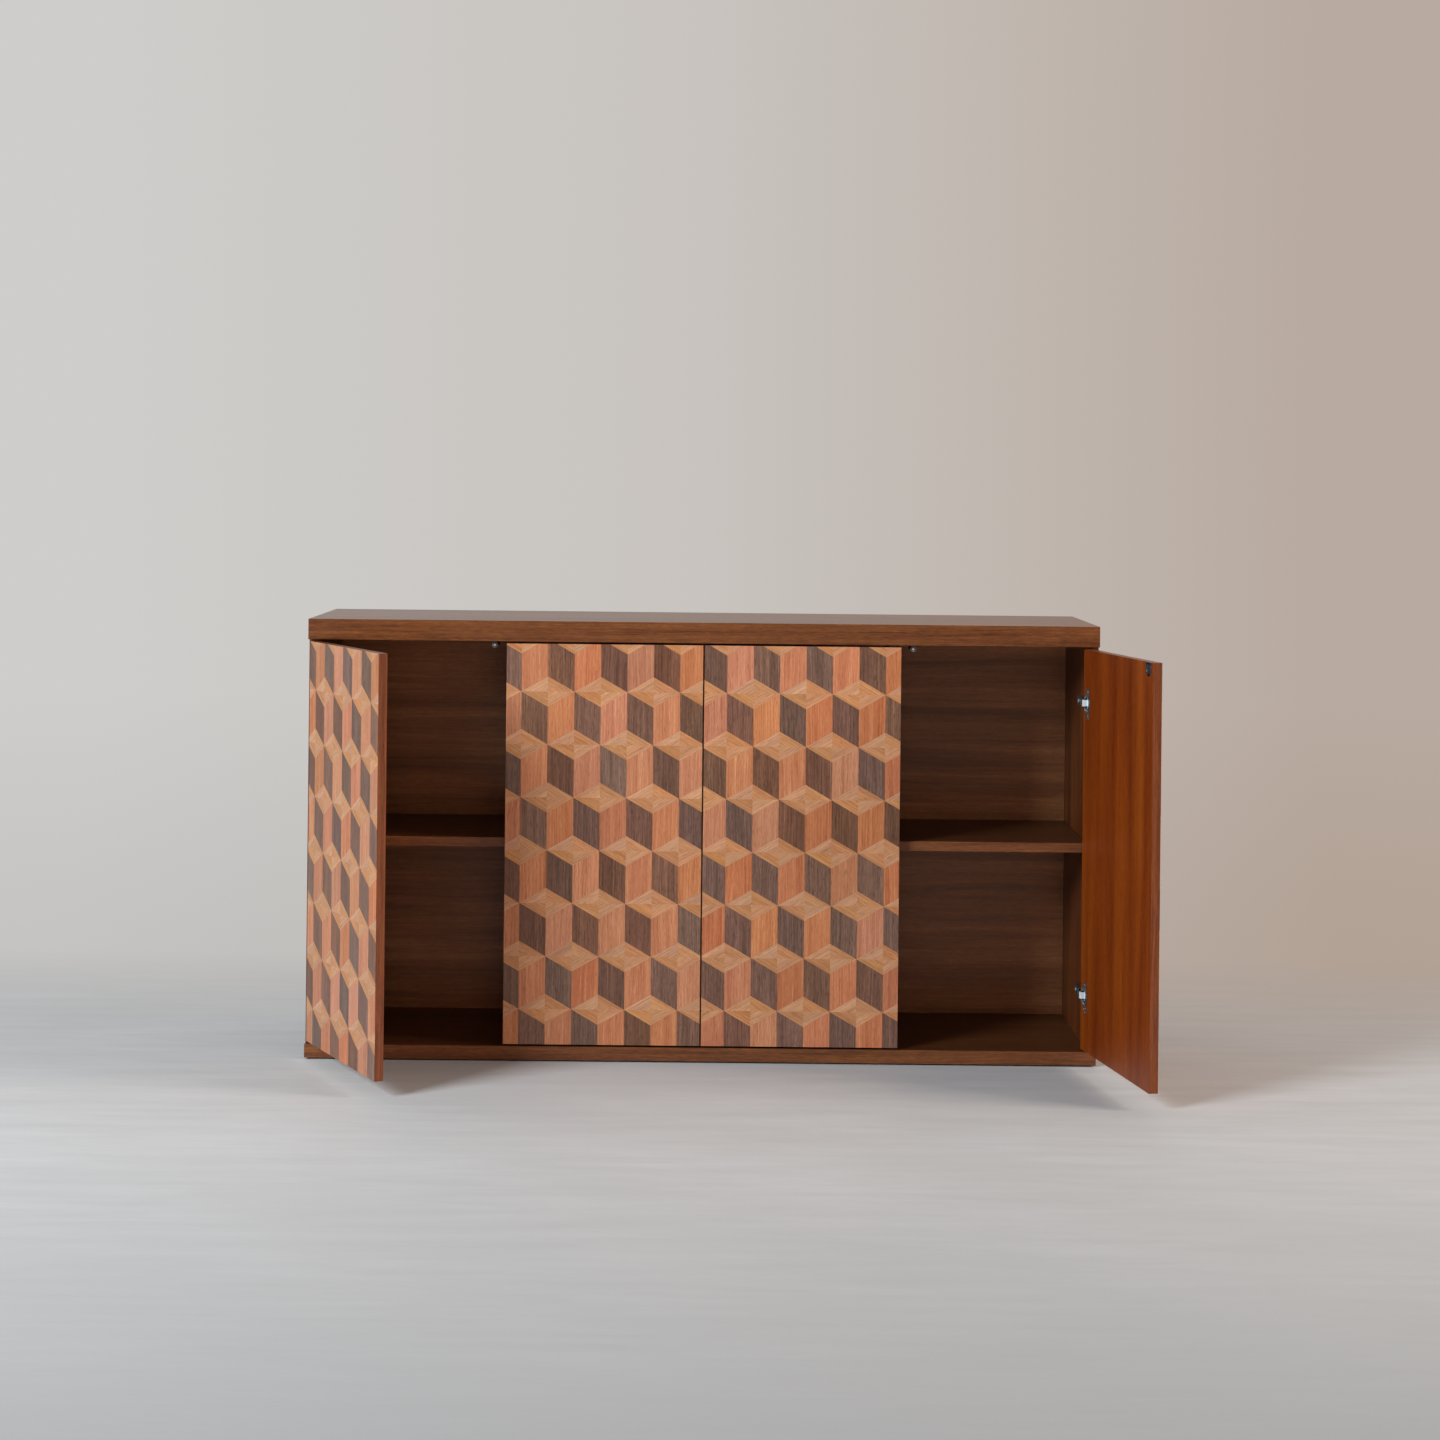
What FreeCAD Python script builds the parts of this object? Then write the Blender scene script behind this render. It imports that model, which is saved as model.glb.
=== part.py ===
import FreeCAD, Part
import math
import os

# A sideboard with four doors in tumbling-block marquetry, in millimetres.
# X runs to the viewer's right, Y to the back and Z up. The origin is on the floor, under the middle.

# Overall sizes
overall_width = 1600
overall_depth = 400
overall_height = 890

# Boards and panels of the carcass
top_board_thickness = 42
bottom_board_thickness = 28
side_thickness = 18
partition_thickness = 18
shelf_thickness = 20
back_thickness = 9
back_recess = 15
back_groove_depth = 6
back_groove_clearance = 0.1
shelf_setback = 5
shelf_end_clearance = 1
shelf_height_share = 0.5
board_edge_radius = 1.5
edge_hem = 0.5

# Glides under the bottom board
glide_radius = 12.5
glide_height = 3
glide_nail_radius = 1.5
glide_nail_length = 14
glide_inset = 45

# Dowels between panels and boards
dowel_radius = 4
dowel_length = 32
dowel_fit = 0.05
dowel_end_gap = 1
dowel_shares = (0.12, 0.5, 0.88)

# Shelf pins
pin_radius = 2.5
pin_length = 17
pin_depth = 8
pin_fit = 0.05
pin_seat_gap = 0.1
pin_inset = 45

# Screws
screw_fit = 0.05
screw_slot_width = 0.8
screw_slot_depth = 0.7
back_screw_radius = 1.75
back_screw_length = 30
back_screw_head_radius = 4
back_screw_head_height = 1.6
back_screw_shares = (0.15, 0.5, 0.85)

# Doors
door_thickness = 18
door_gap = 3
door_board_gap = 4
bumper_gap = 2
veneer_thickness = 0.6
lipping_thickness = 1

# Marquetry: each block shows a dark side, a red side and a light top
block_face_width = 53.4
block_slant = 30
block_row_pitch = 106.9
block_first_row_rise = 10.7

# Cups of the concealed hinges
cup_radius = 17.5
cup_depth = 13
cup_wall = 1
cup_edge_distance = 3
cup_bore_fit = 0.1
hinge_end_distance = 109
flange_thickness = 1.2
flange_rim = 1.5
flange_wing_length = 62
flange_wing_width = 14
flange_wing_offset = 6
cup_screw_spacing = 48
cup_screw_radius = 1.75
cup_screw_length = 11
cup_screw_head_radius = 3.4
cup_screw_head_height = 1.5
cup_notch_width = 14.2
cup_notch_depth = 3
cup_notch_reach = 6.5

# Hinge links and their two pins, placed from the door's edge and from its inner face
pin_pivot_radius = 1.5
pivot_fit = 0.05
cup_pin_in = 8
cup_pin_depth = 6
cup_pin_grip = 0.5
arm_pin_in = 22
arm_pin_back = 10
link_turn_share = 0.39
link_width = 13
link_thickness = 1.5
link_cup_eye_radius = 2.5
link_arm_eye_radius = 3
link_floor_clearance = 0.3
link_low_knee_in = 6.3
link_high_knee_in = 11.5
link_high_knee_rise = 3

# Hinge arms and the plates that carry them
cheek_gap = 0.3
cheek_thickness = 1.5
nose_radius = 3.5
arm_back = 75
arm_height = 10
arm_web_thickness = 1.5
arm_crank_front = 3
arm_crank_length = 12
plate_thickness = 3
plate_wing_back = 37
plate_wing_width = 12
plate_wing_length = 46
plate_screw_spacing = 32
plate_front_back = 22
plate_tail_back = 72
arm_plate_gap = 1
spine_web_gap = 0.3
plate_screw_radius = 2
plate_screw_depth = 8
plate_screw_head_radius = 4
plate_screw_head_height = 1.8
clamp_screw_back = 52
clamp_screw_radius = 3
clamp_screw_head_height = 2

# Push latches under the top board and their strikes on the doors
latch_inset = 23
latch_drop = 8
latch_radius = 6
latch_setback = 4
latch_bore_fit = 0.1
latch_end_wall = 4
latch_mouth_radius = 5
latch_mouth_depth = 3
plunger_radius = 3.2
plunger_length = 46
plunger_tip_radius = 2.6
plunger_strike_gap = 0.5
plunger_travel = 2.5
plunger_spring_room = 10
latch_saddle_width = 6
latch_plate_thickness = 2
latch_plate_width = 32
latch_plate_length = 16
latch_plate_setback = 22
latch_screw_inset = 5
latch_screw_radius = 1.5
latch_screw_length = 14
latch_screw_head_radius = 2.8
latch_screw_head_height = 1.2
strike_width = 26
strike_height = 27
strike_thickness = 1.5

# Places that follow from the sizes above
right_x = overall_width / 2
left_x = -right_x
front_y = -overall_depth / 2
back_y = overall_depth / 2
door_back_y = front_y + door_thickness
carcass_front_y = door_back_y + bumper_gap
back_panel_y = back_y - back_recess - back_thickness
floor_z = 0
bottom_under_z = floor_z + glide_height
bottom_top_z = bottom_under_z + bottom_board_thickness
top_under_z = overall_height - top_board_thickness
inner_right_x = right_x - side_thickness
inner_left_x = -inner_right_x
partition_right_x = partition_thickness / 2
partition_left_x = -partition_right_x
opening_height = top_under_z - bottom_top_z
shelf_under_z = bottom_top_z + (opening_height - shelf_thickness) * shelf_height_share
shelf_top_z = shelf_under_z + shelf_thickness
door_under_z = bottom_top_z + door_board_gap
door_top_z = top_under_z - door_board_gap
door_height = door_top_z - door_under_z
door_width = (right_x - 2 * door_gap) / 2
plunger_front_y = door_back_y + strike_thickness + plunger_strike_gap
hinge_heights = (door_under_z + hinge_end_distance, door_top_z - hinge_end_distance)
up = FreeCAD.Vector(0, 0, 1)
back = FreeCAD.Vector(0, 1, 0)
right = FreeCAD.Vector(1, 0, 0)

# Each door: its hinge edge, the way it runs from there, the panel that carries its hinges,
# the angle at which it stands open, and where its first upright joint lies from its left edge
doors = {
    1: {
        "edge_x": left_x + door_gap / 2,
        "way": 1,
        "carrier_x": inner_left_x,
        "open": 62.7,
        "pattern_start": 37,
    },
    2: {
        "edge_x": -door_gap / 2,
        "way": -1,
        "carrier_x": partition_left_x,
        "open": 0,
        "pattern_start": 30.7,
    },
    3: {
        "edge_x": door_gap / 2,
        "way": 1,
        "carrier_x": partition_right_x,
        "open": 0,
        "pattern_start": 45.9,
    },
    4: {
        "edge_x": right_x - door_gap / 2,
        "way": -1,
        "carrier_x": inner_right_x,
        "open": 100.7,
        "pattern_start": 39.6,
    },
}


def block(x_pair, y_pair, z_pair):
    """A box between two values on each axis, in either order."""
    low = FreeCAD.Vector(min(x_pair), min(y_pair), min(z_pair))
    high = FreeCAD.Vector(max(x_pair), max(y_pair), max(z_pair))
    size = high - low
    return Part.makeBox(size.x, size.y, size.z, low)


def rod(radius, start, way):
    """A cylinder from a point along a vector."""
    return Part.makeCylinder(radius, way.Length, start, way)


def joined(shapes):
    """Shapes that overlap or meet, as one clean solid."""
    return shapes[0].multiFuse(shapes[1:]).removeSplitter()


def full_board(heights):
    """A board of the full width and depth with all its edges rounded over."""
    board = block((left_x, right_x), (front_y, back_y), heights)
    return board.makeFillet(board_edge_radius, board.Edges)


def spot(door, inward, outward, height):
    """A point given from a closed door's hinge edge and from its inner face."""
    return FreeCAD.Vector(door["edge_x"] + door["way"] * inward, door_back_y - outward, height)


def turned(shape, centre, angle):
    """A copy turned about an upright axis."""
    copy = shape.copy()
    copy.rotate(centre, up, angle)
    return copy


def opened(shape, door):
    """A piece of a closed door, carried by cup pin and arm pin to where the door stands."""
    cup_pin = spot(door, cup_pin_in, cup_pin_depth, 0)
    on_link = turned(shape, cup_pin, -door["way"] * door["open"] * (1 + link_turn_share))
    return link_opened(on_link, door)


def link_opened(shape, door):
    """A piece of a closed hinge link, turned about the arm pin to where the door stands."""
    arm_pin = spot(door, arm_pin_in, -arm_pin_back, 0)
    return turned(shape, arm_pin, door["way"] * door["open"] * link_turn_share)


def slotted_screw(radius, length, head_radius, head_height, seat, way):
    """A screw with a round head on the seat point and its shank along the vector."""
    shank = rod(radius, seat, way * length)
    head = rod(head_radius, seat, way * -head_height)
    along = right if way.cross(up).Length == 0 else way.cross(up)
    across = along.cross(way)
    corner = seat - way * head_height - along * head_radius - across * (screw_slot_width / 2)
    far = corner + along * (2 * head_radius) + across * screw_slot_width + way * screw_slot_depth
    slot = block((corner.x, far.x), (corner.y, far.y), (corner.z, far.z))
    return joined([head, shank]).cut(slot)


def panel_lines():
    """The middle planes of the two sides and the partition."""
    return (left_x + side_thickness / 2, 0, right_x - side_thickness / 2)


def dowel_places():
    """The y of each dowel along a panel's depth."""
    run = back_panel_y - carcass_front_y
    return [carcass_front_y + run * share for share in dowel_shares]


def dowel_rods(radius, end_gap):
    """Dowels, or their holes, between each panel and the two boards."""
    half = dowel_length / 2 + end_gap
    starts = [bottom_top_z, top_under_z]
    return [
        rod(radius, FreeCAD.Vector(x, y, z - half), up * (2 * half))
        for x in panel_lines()
        for y in dowel_places()
        for z in starts
    ]


def back_panel_block(clearance):
    """The back panel's space, larger all round by the clearance."""
    deep = back_groove_depth
    return block(
        (inner_left_x - deep - clearance, inner_right_x + deep + clearance),
        (back_panel_y - clearance, back_panel_y + back_thickness + clearance),
        (bottom_top_z - deep - clearance, top_under_z + deep + clearance),
    )


def glide_places():
    """The middle and the four corners of the bottom board."""
    side = right_x - glide_inset
    depth = back_y - glide_inset
    corners = [FreeCAD.Vector(x, y, floor_z) for x in (-side, side) for y in (-depth, depth)]
    return [FreeCAD.Vector(0, 0, floor_z)] + corners


def glide_nails(radius, end_gap):
    """Nails of the glides, or their holes, above the bottom board's underside."""
    rise = glide_height
    return [
        rod(radius, place + up * rise, up * (glide_nail_length - rise + end_gap))
        for place in glide_places()
    ]


def make_boards():
    """The top and bottom boards, grooved for the back and bored for what they hold."""
    bores = dowel_rods(dowel_radius + dowel_fit, dowel_end_gap)
    groove = back_panel_block(back_groove_clearance)
    screws = latch_screw_rods(latch_screw_radius + screw_fit, dowel_end_gap)
    nails = glide_nails(glide_nail_radius + screw_fit, dowel_end_gap)
    return {
        "top_board": full_board((top_under_z, overall_height)).cut(bores + [groove] + screws),
        "bottom_board": full_board((bottom_under_z, bottom_top_z)).cut(bores + [groove] + nails),
    }


def make_uprights():
    """The two sides and the partition, bored for dowels, shelf pins and hinge screws."""
    bores = dowel_rods(dowel_radius + dowel_fit, dowel_end_gap)
    bores += shelf_pin_rods(pin_radius + pin_fit, dowel_end_gap)
    bores += plate_screw_bores()
    bores += [back_panel_block(back_groove_clearance)]
    heights = (bottom_top_z, top_under_z)
    side_y = (carcass_front_y, back_y)
    partition_y = (carcass_front_y, back_panel_y)
    partition = block((partition_left_x, partition_right_x), partition_y, heights)
    return {
        "side_left": block((left_x, inner_left_x), side_y, heights).cut(bores),
        "side_right": block((inner_right_x, right_x), side_y, heights).cut(bores),
        "partition": partition.cut(bores + back_screw_rods(back_screw_radius + screw_fit)),
    }


def back_screw_places():
    """Seats of the screws that hold the back panel to the partition."""
    rear = back_panel_y + back_thickness
    return [
        FreeCAD.Vector(0, rear, bottom_top_z + opening_height * share) for share in back_screw_shares
    ]


def back_screw_rods(radius):
    """Bores for the back screws through panel and partition."""
    length = back_screw_length + dowel_end_gap
    return [rod(radius, place, back * -length) for place in back_screw_places()]


def make_back():
    """The back panel in its grooves, and the screws into the partition."""
    panel = back_panel_block(0).cut(back_screw_rods(back_screw_radius + screw_fit))
    screws = [
        slotted_screw(
            back_screw_radius,
            back_screw_length,
            back_screw_head_radius,
            back_screw_head_height,
            place,
            back * -1,
        )
        for place in back_screw_places()
    ]
    return {"back_panel": panel, "back_screws": Part.makeCompound(screws)}


def shelf_spans():
    """The left and right ends of each compartment."""
    return {
        "shelf_left": (inner_left_x, partition_left_x),
        "shelf_right": (partition_right_x, inner_right_x),
    }


def shelf_pin_rods(radius, end_gap):
    """Shelf pins, or their holes, in the panels beside each shelf."""
    z = shelf_under_z - pin_seat_gap - pin_radius
    rods = []
    for left_end, right_end in shelf_spans().values():
        for y in (carcass_front_y + shelf_setback + pin_inset, back_panel_y - pin_inset):
            for x, way in ((left_end, 1), (right_end, -1)):
                start = FreeCAD.Vector(x - way * (pin_depth + end_gap), y, z)
                rods.append(rod(radius, start, right * (way * (pin_length + end_gap))))
    return rods


def make_shelves():
    """A shelf in each compartment, on four pins."""
    parts = {}
    for name, (left_end, right_end) in shelf_spans().items():
        shelf = block(
            (left_end + shelf_end_clearance, right_end - shelf_end_clearance),
            (carcass_front_y + shelf_setback, back_panel_y),
            (shelf_under_z, shelf_top_z),
        )
        front_edges = [
            edge
            for edge in shelf.Edges
            if abs(edge.BoundBox.YMax - carcass_front_y - shelf_setback) < edge_hem
            and edge.BoundBox.XLength > shelf_thickness
        ]
        parts[name] = shelf.makeFillet(board_edge_radius, front_edges)
    parts["shelf_pins"] = Part.makeCompound(shelf_pin_rods(pin_radius, 0))
    return parts


def make_glides():
    """Round glides, each with its nail in the bottom board."""
    pads = [rod(glide_radius, place, up * glide_height) for place in glide_places()]
    nails = glide_nails(glide_nail_radius, 0)
    return {"glides": Part.makeCompound([joined(list(pair)) for pair in zip(pads, nails)])}


def clipped(points, low_x, high_x, low_z, high_z):
    """A convex outline cut to a rectangle."""
    walls = ((0, low_x, 1), (0, high_x, -1), (1, low_z, 1), (1, high_z, -1))
    for axis, wall, side in walls:
        kept = []
        for index, end in enumerate(points):
            start = points[index - 1]
            start_in = (start[axis] - wall) * side
            end_in = (end[axis] - wall) * side
            if start_in * end_in < 0:
                share = start_in / (start_in - end_in)
                kept.append(tuple(a + (b - a) * share for a, b in zip(start, end)))
            if end_in >= 0:
                kept.append(end)
        points = kept
    return points


def outline_area(points):
    """Twice the area of an outline, always positive."""
    pairs = zip(points, points[1:] + points[:1])
    return abs(sum(a[0] * b[1] - b[0] * a[1] for a, b in pairs))


def block_faces(door):
    """Outlines of the marquetry on a closed door's outer face, by kind of wood."""
    ends = sorted((door["edge_x"], door["edge_x"] + door["way"] * door_width))
    half = block_face_width
    drop = half * math.tan(math.radians(block_slant))
    side = block_row_pitch - drop
    rows = math.ceil((door_height + drop + block_first_row_rise) / block_row_pitch) + 1
    columns = math.ceil(door_width / half) + 3
    faces = {"walnut": [], "red": [], "light": []}
    for row in range(rows):
        z = door_top_z + block_first_row_rise - block_row_pitch * row
        for column in range(row % 2 - 2, columns, 2):
            x = ends[0] + door["pattern_start"] + half * column
            west = (x - half, z)
            east = (x + half, z)
            south = (x, z - drop)
            foot = (x, z - drop - side)
            outlines = {
                "walnut": [west, south, foot, (x - half, z - side)],
                "red": [south, east, (x + half, z - side), foot],
                "light": [west, (x, z + drop), east, south],
            }
            for wood, outline in outlines.items():
                cut = clipped(outline, ends[0], ends[1], door_under_z, door_top_z)
                if len(cut) > 2 and outline_area(cut) > 2 * veneer_thickness:
                    faces[wood].append(cut)
    return faces


def veneer_pieces(outlines):
    """Thin pieces of veneer on the closed door's outer face."""
    pieces = []
    for outline in outlines:
        corners = [FreeCAD.Vector(x, front_y, z) for x, z in outline]
        face = Part.Face(Part.makePolygon(corners + corners[:1]))
        pieces.append(face.extrude(back * veneer_thickness))
    return Part.makeCompound(pieces)


def cup_places(door):
    """The middle of each cup on the closed door's inner face."""
    inward = cup_edge_distance + cup_radius
    return [spot(door, inward, 0, height) for height in hinge_heights]


def cup_screw_places(door):
    """Seats of the cup screws on their flange."""
    inward = cup_edge_distance + cup_radius + flange_wing_offset
    return [
        spot(door, inward, -flange_thickness, height + side * cup_screw_spacing / 2)
        for height in hinge_heights
        for side in (-1, 1)
    ]


def door_cup_bores(door):
    """Bores for the cups and their screws, from in front of the inner face."""
    bores = [
        rod(cup_radius + cup_bore_fit, place, back * -cup_depth) for place in cup_places(door)
    ]
    length = cup_screw_length + dowel_end_gap
    bores += [
        rod(cup_screw_radius + screw_fit, place, back * -length) for place in cup_screw_places(door)
    ]
    return bores


def make_door_panel(door):
    """The core, its lipping on four edges and the veneer on its inner face."""
    ends = sorted((door["edge_x"], door["edge_x"] + door["way"] * door_width))
    layers = (front_y + veneer_thickness, door_back_y - veneer_thickness)
    trim = lipping_thickness
    inner_x = (ends[0] + trim, ends[1] - trim)
    inner_z = (door_under_z + trim, door_top_z - trim)
    bores = door_cup_bores(door)
    upright_strips = [
        block((ends[0], inner_x[0]), layers, (door_under_z, door_top_z)),
        block((inner_x[1], ends[1]), layers, (door_under_z, door_top_z)),
    ]
    level_strips = [
        block(inner_x, layers, (door_under_z, inner_z[0])),
        block(inner_x, layers, (inner_z[1], door_top_z)),
    ]
    inner_skin = block(ends, (layers[1], door_back_y), (door_under_z, door_top_z))
    return {
        "core": block(inner_x, layers, inner_z).cut(bores),
        "lipping": Part.makeCompound(upright_strips + level_strips),
        "inner_veneer": inner_skin.cut(bores),
    }


def make_cup(door, place):
    """One cup with its flange, its notch for the link and the pin across it."""
    flange_top = place + back * flange_thickness
    body = rod(cup_radius, place, back * -cup_depth)
    rim = rod(cup_radius + flange_rim, flange_top, back * -flange_thickness)
    wing_x = place.x + door["way"] * flange_wing_offset
    wing = block(
        (wing_x - flange_wing_width / 2, wing_x + flange_wing_width / 2),
        (place.y, flange_top.y),
        (place.z - flange_wing_length / 2, place.z + flange_wing_length / 2),
    )
    hollow_depth = cup_depth - cup_wall + flange_thickness
    hollow = rod(cup_radius - cup_wall, flange_top, back * -hollow_depth)
    notch_start = spot(door, cup_edge_distance - flange_rim, -flange_thickness, place.z)
    notch_end = spot(door, cup_edge_distance - flange_rim + cup_notch_reach, cup_notch_depth, place.z)
    notch_half = cup_notch_width / 2
    notch = block(
        (notch_start.x, notch_end.x),
        (notch_start.y, notch_end.y),
        (place.z - notch_half, place.z + notch_half),
    )
    off_centre = cup_edge_distance + cup_radius - cup_pin_in
    pin_half = math.sqrt((cup_radius - cup_wall) ** 2 - off_centre**2) + cup_pin_grip
    pin_start = spot(door, cup_pin_in, cup_pin_depth, place.z - pin_half)
    pin = rod(pin_pivot_radius, pin_start, up * (2 * pin_half)).common(body)
    shell = joined([body, rim, wing]).cut([hollow, notch])
    screw_holes = [
        rod(cup_screw_radius + screw_fit, seat, back * -flange_thickness)
        for seat in cup_screw_places(door)
    ]
    return joined([shell, pin]).cut(screw_holes)


def make_door_hardware(door):
    """The hinge cups with their screws, and the strike for the latch."""
    cups = [make_cup(door, place) for place in cup_places(door)]
    screws = [
        slotted_screw(
            cup_screw_radius,
            cup_screw_length,
            cup_screw_head_radius,
            cup_screw_head_height,
            seat,
            back * -1,
        )
        for seat in cup_screw_places(door)
    ]
    strike_radius = strike_width / 2
    middle = spot(door, door_width - latch_inset, 0, door_top_z - strike_height + strike_radius)
    plate = block(
        (middle.x - strike_radius, middle.x + strike_radius),
        (door_back_y, door_back_y + strike_thickness),
        (middle.z, door_top_z),
    )
    rounding = rod(strike_radius, middle, back * strike_thickness)
    return {
        "hinge_cups": Part.makeCompound(cups + screws),
        "strike": joined([plate, rounding]),
    }


def strip(points, thickness, height, low_z):
    """A bent strip of even thickness along a path, round at its ends and knees."""
    runs = []
    for start, end in zip(points, points[1:]):
        way = end - start
        side = up.cross(way).normalize() * (thickness / 2)
        corners = [start + side, end + side, end - side, start - side, start + side]
        face = Part.Face(Part.makePolygon(corners))
        runs.append(face.extrude(up * height))
    knees = [rod(thickness / 2, point, up * height) for point in points[1:-1]]
    shape = joined(runs + knees)
    shape.translate(up * low_z)
    return shape


def make_link(door, height):
    """One hinge link: a cranked strip with an eye for the cup pin and one for the arm pin."""
    low = height - link_width / 2
    floor = cup_depth - cup_wall - link_floor_clearance - link_thickness / 2
    path = [
        spot(door, cup_pin_in, cup_pin_depth, 0),
        spot(door, cup_pin_in + link_low_knee_in, floor, 0),
        spot(door, cup_pin_in + link_high_knee_in, floor - link_high_knee_rise, 0),
        spot(door, arm_pin_in, -arm_pin_back, 0),
    ]
    band = strip(path, link_thickness, link_width, low)
    rise = up * low
    cup_eye = rod(link_cup_eye_radius, path[0] + rise, up * link_width)
    arm_eye = rod(link_arm_eye_radius, path[-1] + rise, up * link_width)
    holes = [
        rod(pin_pivot_radius + pivot_fit, end + rise, up * link_width) for end in (path[0], path[-1])
    ]
    return joined([band, cup_eye, arm_eye]).cut(holes)


def carrier_distance(door):
    """How far the carrying panel's face lies from the closed door's edge."""
    return (door["carrier_x"] - door["edge_x"]) * door["way"]


def outline_plate(door, outline, low, high):
    """A level plate with an outline given from a closed door's edge and inner face."""
    corners = [spot(door, inward, outward, low) for inward, outward in outline]
    face = Part.Face(Part.makePolygon(corners + corners[:1]))
    return face.extrude(up * (high - low))


def make_arm(door, height):
    """One hinge arm: two cranked cheeks, the web over them and the pin at the nose."""
    carrier = carrier_distance(door)
    foot = carrier + plate_thickness + arm_plate_gap
    head = foot + arm_height
    nose_head = arm_pin_in + nose_radius
    nose_foot = arm_pin_in - nose_radius
    crank_front = -(arm_pin_back + arm_crank_front)
    crank_back = crank_front - arm_crank_length
    cheek_outline = [
        (nose_head, -arm_pin_back),
        (nose_head, crank_front),
        (head, crank_back),
        (head, -arm_back),
        (foot, -arm_back),
        (foot, crank_back),
        (nose_foot, -arm_pin_back),
    ]
    inner_half = link_width / 2 + cheek_gap
    outer_half = inner_half + cheek_thickness
    cheeks = []
    for low, high in ((-outer_half, -inner_half), (inner_half, outer_half)):
        nose_start = spot(door, arm_pin_in, -arm_pin_back, height + low)
        cheeks.append(outline_plate(door, cheek_outline, height + low, height + high))
        cheeks.append(rod(nose_radius, nose_start, up * cheek_thickness))
    web_outline = [
        (head, crank_back),
        (head, -arm_back),
        (head - arm_web_thickness, -arm_back),
        (head - arm_web_thickness, crank_back),
    ]
    web = outline_plate(door, web_outline, height - outer_half, height + outer_half)
    pin_start = spot(door, arm_pin_in, -arm_pin_back, height - outer_half)
    pin = rod(pin_pivot_radius, pin_start, up * (2 * outer_half))
    hole_start = spot(door, head, -clamp_screw_back, height)
    hole = rod(clamp_screw_radius + screw_fit, hole_start, right * (-door["way"] * arm_height))
    return joined(cheeks + [web, pin]).cut(hole)


def make_plate(door, height):
    """One mounting plate: its wings on the panel and the spine inside the arm."""
    carrier = carrier_distance(door)
    spine_half = link_width / 2 + cheek_gap
    head = carrier + plate_thickness + arm_plate_gap + arm_height
    spine_head = head - arm_web_thickness - spine_web_gap
    wing_outline = [
        (carrier, -plate_wing_back + plate_wing_width / 2),
        (carrier, -plate_wing_back - plate_wing_width / 2),
        (carrier + plate_thickness, -plate_wing_back - plate_wing_width / 2),
        (carrier + plate_thickness, -plate_wing_back + plate_wing_width / 2),
    ]
    base_outline = [
        (carrier, -plate_front_back),
        (carrier, -plate_tail_back),
        (carrier + plate_thickness, -plate_tail_back),
        (carrier + plate_thickness, -plate_front_back),
    ]
    spine_outline = [
        (carrier, -plate_front_back - plate_wing_width / 2),
        (carrier, -plate_tail_back),
        (spine_head, -plate_tail_back),
        (spine_head, -plate_front_back - plate_wing_width / 2),
    ]
    wing_half = plate_wing_length / 2
    base_half = spine_half + cheek_thickness
    wings = outline_plate(door, wing_outline, height - wing_half, height + wing_half)
    base = outline_plate(door, base_outline, height - base_half, height + base_half)
    spine = outline_plate(door, spine_outline, height - spine_half, height + spine_half)
    screw_start = spot(door, spine_head, -clamp_screw_back, height)
    clamp_hole = rod(
        clamp_screw_radius + screw_fit,
        screw_start,
        right * (-door["way"] * (spine_head - carrier)),
    )
    holes = [
        rod(plate_screw_radius + screw_fit, seat, right * (-door["way"] * plate_thickness))
        for seat in plate_screw_seats(door, height)
    ]
    return joined([wings, base, spine]).cut(holes + [clamp_hole])


def plate_screw_seats(door, height):
    """Seats of a mounting plate's two screws."""
    inward = carrier_distance(door) + plate_thickness
    half = plate_screw_spacing / 2
    return [spot(door, inward, -plate_wing_back, height + side * half) for side in (-1, 1)]


def plate_screw_bores():
    """Bores for the mounting screws of all the hinges."""
    length = plate_thickness + plate_screw_depth
    return [
        rod(plate_screw_radius + screw_fit, seat, right * (-door["way"] * length))
        for door in doors.values()
        for height in hinge_heights
        for seat in plate_screw_seats(door, height)
    ]


def make_plate_screws(door, height):
    """The screws of one mounting plate and the screw that clamps its arm."""
    inward_way = right * -door["way"]
    screws = [
        slotted_screw(
            plate_screw_radius,
            plate_thickness + plate_screw_depth - dowel_fit,
            plate_screw_head_radius,
            plate_screw_head_height,
            seat,
            inward_way,
        )
        for seat in plate_screw_seats(door, height)
    ]
    head = carrier_distance(door) + plate_thickness + arm_plate_gap + arm_height
    clamp = slotted_screw(
        clamp_screw_radius,
        arm_height,
        clamp_screw_radius + clamp_screw_head_height / 2,
        clamp_screw_head_height,
        spot(door, head, -clamp_screw_back, height),
        inward_way,
    )
    return screws + [clamp]


def latch_x(door):
    """The x of a door's latch and strike."""
    return door["edge_x"] + door["way"] * (door_width - latch_inset)


def latch_screw_rods(radius, end_gap):
    """Bores for the screws of the latch plates in the top board."""
    return [
        rod(radius, seat + up * latch_plate_thickness, up * (latch_screw_length + end_gap))
        for door in doors.values()
        for seat in latch_screw_seats(door)
    ]


def latch_screw_seats(door):
    """Seats of a latch plate's two screws, on its underside."""
    y = carcass_front_y + latch_plate_setback + latch_plate_length / 2
    half = latch_plate_width / 2 - latch_screw_inset
    low = top_under_z - latch_plate_thickness
    return [FreeCAD.Vector(latch_x(door) + side * half, y, low) for side in (-1, 1)]


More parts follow.
